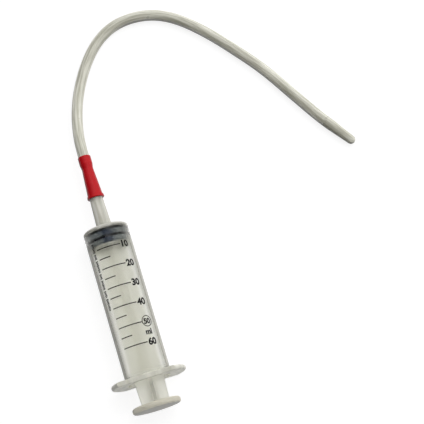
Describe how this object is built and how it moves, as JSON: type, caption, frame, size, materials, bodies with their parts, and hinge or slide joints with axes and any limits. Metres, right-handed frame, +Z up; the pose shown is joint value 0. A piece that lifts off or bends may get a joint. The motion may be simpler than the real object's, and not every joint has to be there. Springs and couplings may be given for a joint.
{
  "type": "catheter tip syringe with feeding tube",
  "caption": "Large translucent syringe with a long tapered nozzle, a red funnel connector pushed on it and a soft feeding tube with a rounded tip, lying on its side.",
  "frame": {"origin": "middle of the edge on which the finger flange rests, at the middle of the flange's thickness", "axes": "+Y along the barrel's axis towards the nozzle, +Z up from the table on which the syringe lies, X along the wings of the finger flange"},
  "size_m": [0.2178, 0.2899, 0.034],
  "materials": {
    "barrel_plastic": "translucent moulded polypropylene, satin inside and glossy outside",
    "rod_plastic": "milky moulded polypropylene, satin",
    "stopper_rubber": "dark blue-grey moulded rubber, faintly oiled",
    "connector_plastic": "glossy soft red vinyl",
    "tube_plastic": "clear, slightly yellowed soft vinyl"
  },
  "bodies": {
    "barrel": {"barrel": "barrel_plastic"},
    "stopper": {"stopper": "stopper_rubber"},
    "rod": {"plunger_rod": "rod_plastic"},
    "connector": {"funnel_connector": "connector_plastic", "feeding_tube": "tube_plastic", "tube_tip": "tube_plastic"}
  },
  "joints": [
    {"name": "plunger_slide", "type": "slide", "parent": "barrel", "child": "stopper", "axis": [0, -1, 0], "range_m": [0, 0.091]},
    {"name": "rod_turn", "type": "hinge", "parent": "stopper", "child": "rod", "pos_m": [0, 0.1, 0.017], "axis": [0, 1, 0], "continuous": true},
    {"name": "connector_pull", "type": "slide", "parent": "barrel", "child": "connector", "axis": [0, 1, 0], "range_m": [0, 0.03]}
  ]
}
